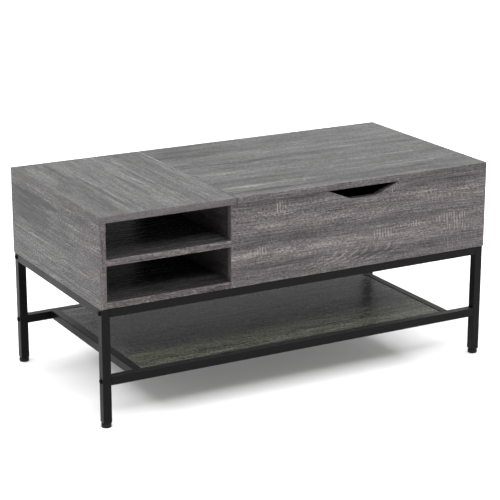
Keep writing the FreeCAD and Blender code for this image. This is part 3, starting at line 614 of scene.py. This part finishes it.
def spring_path(node):
    """Hook, coils and hook of an extension spring along Y, filling the CAD spring's box."""
    low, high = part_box(node)
    x, z = (low[0] + high[0]) / 2, (low[2] + high[2]) / 2
    coil_radius = (high[0] - low[0] - SPRING_WIRE) / 2
    edge = SPRING_WIRE / 2 + SPRING_HOOK
    first, last = low[1] + edge, high[1] - edge
    start, end = first + SPRING_NECK, last - SPRING_NECK
    turns = round((end - start) / SPRING_PITCH)
    points = hook(first, z, x, 330.0, 90.0)
    steps = turns * COIL_STEPS
    for k in range(steps + 1):
        turn = 2 * math.pi * k / COIL_STEPS + math.pi / 2
        points.append(Vector((x + coil_radius * math.cos(turn),
                              start + (end - start) * k / steps,
                              z + coil_radius * math.sin(turn))))
    return points + hook(last, z, x, 90.0, -150.0)


def make_springs():
    """Both springs, swept from wire in the CAD springs' boxes, which they replace."""
    for side in ("left", "right"):
        node = "spring_" + side
        piece = add_piece(node + "_coils", sweep(spring_path(node), SPRING_WIRE / 2, WIRE_SIDES),
                          spring_wire, "table")
        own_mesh(piece)
        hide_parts(node)


def bead(start, end):
    """A rippled weld bead along a straight seam."""
    run = end - start
    steps = max(4, round(run.length / WELD_STEP))
    mesh = sweep([start + run * (k / steps) for k in range(steps + 1)], 1.0, BEAD_SIDES)
    mesh.verts.ensure_lookup_table()
    for k in range(steps + 1):
        centre = start + run * (k / steps)
        ends = min(1.0, 0.45 + 0.3 * min(k, steps - k))
        radius = WELD_RADIUS * ends * (1.0 + 0.14 * math.sin(k * 1.9)
                                       + random.uniform(-0.06, 0.06))
        for vertex in mesh.verts[k * BEAD_SIDES:(k + 1) * BEAD_SIDES]:
            vertex.co = centre + (vertex.co - centre) * radius
    return mesh


def make_welds():
    """Beads in the inside corners where the short rails meet the legs and long rails."""
    seams = []
    for side in ("left", "right"):
        low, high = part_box("side_rail_" + side)
        for y in (low[1], high[1]):
            seams.append((Vector((low[0] + WELD_INSET, y, low[2])),
                          Vector((high[0] - WELD_INSET, y, low[2]))))
        low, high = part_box("cross_rail_" + side)
        for y in (low[1], high[1]):
            for x in (low[0], high[0]):
                seams.append((Vector((x, y, low[2] + WELD_INSET)),
                              Vector((x, y, high[2] - WELD_INSET))))
    whole = bmesh.new()
    for start, end in seams:
        part = bead(start, end)
        scratch = bpy.data.meshes.new("seam")
        part.to_mesh(scratch)
        part.free()
        whole.from_mesh(scratch)
        bpy.data.meshes.remove(scratch)
    add_piece("weld_beads", whole, steel, "table")


SPRING_WIRE, SPRING_PITCH = 1.6 * MM, 1.9 * MM
SPRING_HOOK = 5.0 * MM              # radius of the hooks
SPRING_NECK = 1.4 * SPRING_HOOK     # hook's middle to the first coil
COIL_STEPS, HOOK_STEPS, WIRE_SIDES = 14, 16, 7
WELD_RADIUS, WELD_STEP, WELD_INSET = 1.5 * MM, 0.55 * MM, 2.0 * MM
BEAD_SIDES = 8
make_springs()
make_welds()


# ---- camera, floor and light --------------------------------------------------------
def make_camera():
    """The camera, set by its place, its three angles and its lens."""
    camera = bpy.data.objects.new("camera", bpy.data.cameras.new("camera"))
    bpy.context.collection.objects.link(camera)
    camera.data.sensor_width = 36.0
    camera.data.lens = CAMERA_LENS
    camera.data.clip_start, camera.data.clip_end = 0.1, 100.0
    azimuth, elevation, roll = (math.radians(a) for a in CAMERA_ANGLES)
    back = Vector((math.sin(azimuth) * math.cos(elevation),
                   -math.cos(azimuth) * math.cos(elevation), math.sin(elevation)))
    right = Vector((math.cos(azimuth), math.sin(azimuth), 0.0))
    up = back.cross(right)
    turned = right * math.cos(roll) + up * math.sin(roll)
    up = up * math.cos(roll) - right * math.sin(roll)
    basis = Matrix((turned, up, back)).transposed()
    camera.matrix_world = Matrix.Translation(Vector(CAMERA_PLACE)) @ basis.to_4x4()
    bpy.context.scene.camera = camera


def make_floor():
    """A wide pale floor with a faint glow of its own, which lightens the shadows on it."""
    mesh = bpy.data.meshes.new("floor")
    mesh.from_pydata([(-FLOOR_REACH, -FLOOR_REACH, 0), (FLOOR_REACH, -FLOOR_REACH, 0),
                      (FLOOR_REACH, FLOOR_REACH, 0), (-FLOOR_REACH, FLOOR_REACH, 0)],
                     [], [(0, 1, 2, 3)])
    floor = bpy.data.objects.new("floor", mesh)
    bpy.context.collection.objects.link(floor)
    material, n, shader, coords = new_material("floor_paint")
    cloud = n.noise(coords.outputs["Object"], scale=1.5, detail=2.0)
    n.put(shader.inputs["Base Color"],
          n.mix(cloud, (0.73, 0.73, 0.73), (0.76, 0.76, 0.76)))
    shader.inputs["Roughness"].default_value = 0.9
    shader.inputs["Specular IOR Level"].default_value = 0.1
    shader.inputs["Emission Color"].default_value = (1.0, 1.0, 1.0, 1.0)
    shader.inputs["Emission Strength"].default_value = FLOOR_GLOW
    mesh.materials.append(material)


def make_light():
    """A studio sky: an even base, a cap overhead with a bright ring along its rim, stronger
    towards the front, and a broad glow at each side."""
    world = bpy.data.worlds.new("studio")
    bpy.context.scene.world = world
    world.use_nodes = True
    n = Nodes(world.node_tree)
    coords = n.make("ShaderNodeTexCoord")
    direction = coords.outputs["Generated"]
    height = n.split(direction)[2]
    rise, full, fade, gone = (math.sin(math.radians(CAP_EDGE + more)) for more in RING_STEPS)
    overhead = n.fit(height, rise, full, 0.0, CAP_LEVEL)
    ring = n.math("MULTIPLY", n.fit(height, rise, full, 0.0, RING_LEVEL),
                  n.fit(height, gone, fade))
    ring = n.math("MULTIPLY", ring, n.fit(n.split(direction)[1], 0.5, -0.5, *RING_REAR_FRONT))
    side = n.vector("DOT_PRODUCT", n.vector("ABSOLUTE", direction), SIDE_TOWARDS)
    side = n.fit(side, *SIDE_SPREAD, 0.0, SIDE_LEVEL)
    level = n.math("ADD", n.math("ADD", n.math("ADD", overhead, ring), side), SKY_LEVEL)
    background = world.node_tree.nodes["Background"]
    n.put(background.inputs["Color"], n.join(level, level, level))
    background.inputs["Strength"].default_value = 1.0


CAMERA_LENS = 126.60
CAMERA_ANGLES = (-29.162, 16.770, 0.089)        # azimuth, elevation, roll in degrees
CAMERA_PLACE = (-1.94737, -3.48961, 1.47269)
CAP_EDGE = 43.8                                 # elevation of the cap's rim in degrees
RING_STEPS = (-3.0, 0.0, 4.5, 7.5)              # degrees past it: starts, full, fades, ends
CAP_LEVEL, RING_LEVEL = 1.35, 6.35
RING_REAR_FRONT = (0.65, 1.5)                   # the ring's strength at the rear and front
SIDE_TOWARDS, SIDE_LEVEL = (0.88, 0.0, 0.47), 0.85
SIDE_SPREAD = (0.55, 0.97)                      # how far towards it: glow starts, is full
SKY_LEVEL = 0.4
FLOOR_REACH, FLOOR_GLOW = 30.0, 0.11
bpy.context.scene.view_settings.view_transform = "Standard"
make_camera()
make_floor()
make_light()
